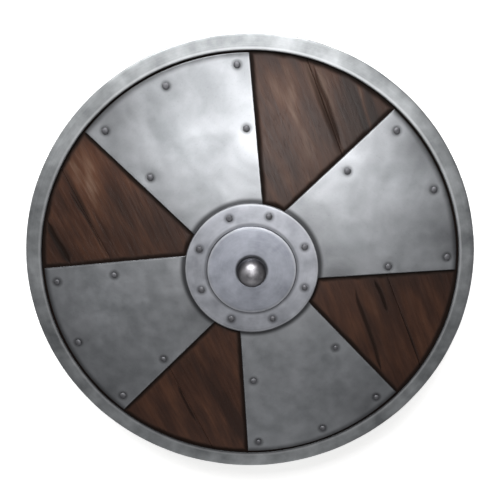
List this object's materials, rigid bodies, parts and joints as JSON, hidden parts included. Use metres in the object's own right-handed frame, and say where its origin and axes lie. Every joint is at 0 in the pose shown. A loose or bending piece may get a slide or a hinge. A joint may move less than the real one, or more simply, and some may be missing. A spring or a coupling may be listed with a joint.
{
  "type": "round plank shield",
  "caption": "Round wooden shield with a steel channel rim, riveted steel plates in a pinwheel and a stepped, domed boss; grip and arm strap behind.",
  "frame": {"origin": "on the surface the shield lies on, under the middle of the rim", "axes": "+Z out of the face, +Y to the upper edge, +X to the right edge seen from the front"},
  "size_m": [0.6, 0.6, 0.1116],
  "materials": {
    "oak": "dark oiled oak planks, satin, with open grain, cracks and grime",
    "grip_wood": "carved and oiled, worn smooth by the hand",
    "leather": "thick dark harness leather, waxed",
    "plate_steel": "hand-ground sheet with a cloudy grey patina",
    "rim_steel": "dull forged channel with a brighter inner lip",
    "knob_steel": "polished, darkened towards its foot",
    "rivet_steel": "dark hammered heads with dirt round them"
  },
  "bodies": {
    "root": {"plank_1": "oak", "plank_2": "oak", "plank_3": "oak", "plank_4": "oak", "rim": "rim_steel", "plate_upper_left": "plate_steel", "plate_right": "plate_steel", "plate_lower_right": "plate_steel", "plate_left": "plate_steel", "boss_flange": "plate_steel", "boss_disc": "plate_steel", "boss_knob": "knob_steel", "rivet_upper_left_1": "rivet_steel", "rivet_upper_left_2": "rivet_steel", "rivet_upper_left_3": "rivet_steel", "rivet_upper_left_4": "rivet_steel", "rivet_upper_left_5": "rivet_steel", "rivet_right_1": "rivet_steel", "rivet_right_2": "rivet_steel", "rivet_right_3": "rivet_steel", "rivet_right_4": "rivet_steel", "rivet_right_5": "rivet_steel", "rivet_lower_right_1": "rivet_steel", "rivet_lower_right_2": "rivet_steel", "rivet_lower_right_3": "rivet_steel", "rivet_lower_right_4": "rivet_steel", "rivet_lower_right_5": "rivet_steel", "rivet_left_1": "rivet_steel", "rivet_left_2": "rivet_steel", "rivet_left_3": "rivet_steel", "rivet_left_4": "rivet_steel", "rivet_left_5": "rivet_steel", "rivet_boss_1": "rivet_steel", "rivet_boss_2": "rivet_steel", "rivet_boss_3": "rivet_steel", "rivet_boss_4": "rivet_steel", "rivet_boss_5": "rivet_steel", "rivet_boss_6": "rivet_steel", "rivet_boss_7": "rivet_steel", "rivet_boss_8": "rivet_steel", "grip": "grip_wood", "arm_strap": "leather", "nail_grip_1": "rivet_steel", "nail_grip_2": "rivet_steel", "nail_grip_3": "rivet_steel", "nail_grip_4": "rivet_steel", "nail_strap_1": "rivet_steel", "nail_strap_2": "rivet_steel", "nail_strap_3": "rivet_steel", "nail_strap_4": "rivet_steel"}
  },
  "joints": []
}
